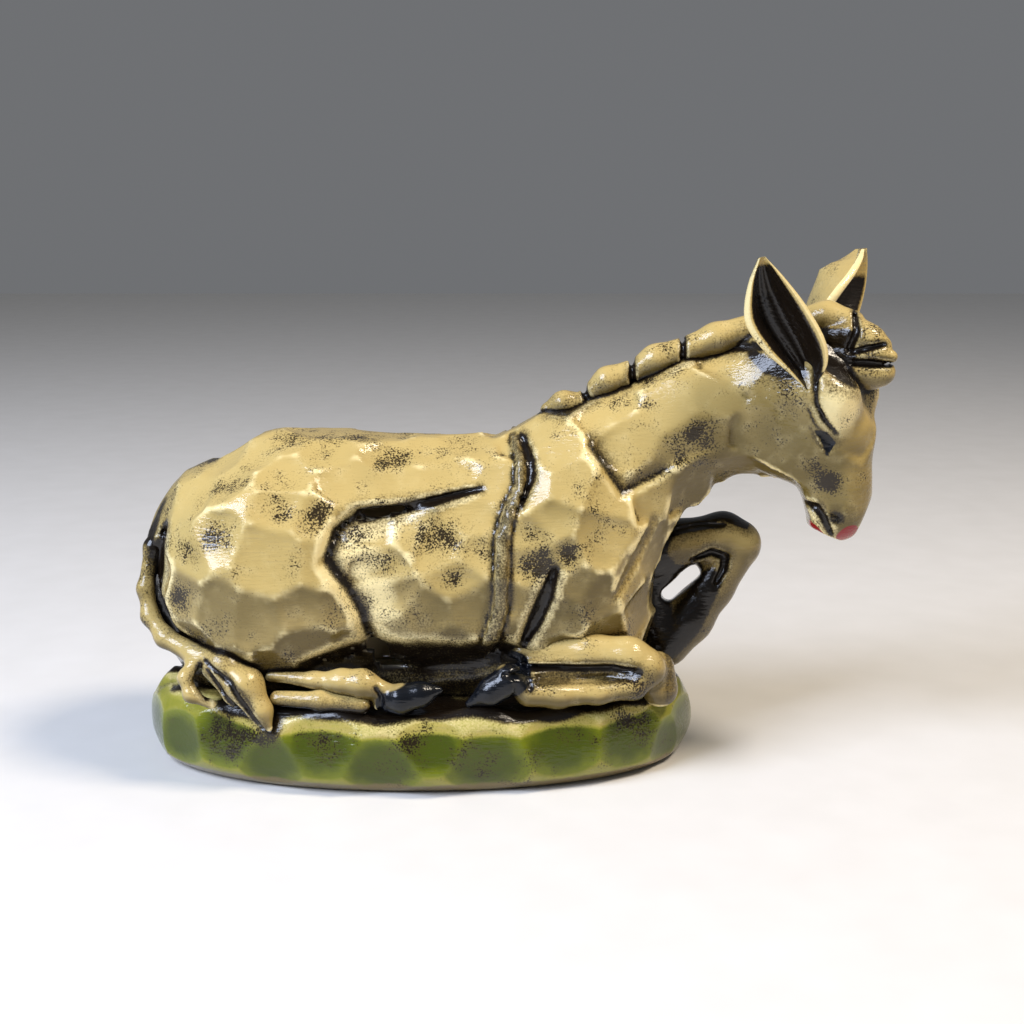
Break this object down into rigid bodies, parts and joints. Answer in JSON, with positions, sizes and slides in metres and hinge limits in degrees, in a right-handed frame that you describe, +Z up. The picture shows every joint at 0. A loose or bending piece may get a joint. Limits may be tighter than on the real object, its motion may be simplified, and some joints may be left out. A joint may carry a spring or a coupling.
{
  "type": "figural animal coin bank",
  "caption": "Coin bank: a hollow painted donkey lying on an oval plinth, with a coin slot in its back and a rubber stopper underneath.",
  "frame": {"origin": "middle of the overall box, on the surface that the plinth stands on", "axes": "+X towards the head, along the animal; +Y towards its right side; +Z up"},
  "size_m": [0.1918, 0.073, 0.131],
  "materials": {
    "plinth_paint": "moss green paint with dark patches under gloss varnish",
    "coat_paint": "cream paint with a dark brown wash under gloss varnish",
    "dark_paint": "dark brown wash under gloss varnish",
    "stopper_rubber": "matt moulded"
  },
  "bodies": {
    "bank": {"base_shell": "plinth_paint", "body_shell": "coat_paint", "near_ear": "coat_paint", "far_ear": "coat_paint", "forelock": "coat_paint", "mane_tufts": "coat_paint", "tail": "coat_paint", "raised_foreleg": "coat_paint", "near_foreleg": "coat_paint", "near_hind_leg": "coat_paint", "far_hind_leg": "dark_paint"},
    "stopper": {"stopper": "stopper_rubber"}
  },
  "joints": [
    {"name": "stopper_pull", "type": "slide", "parent": "bank", "child": "stopper", "axis": [0, 0, -1], "range_m": [0, 0.035]}
  ]
}
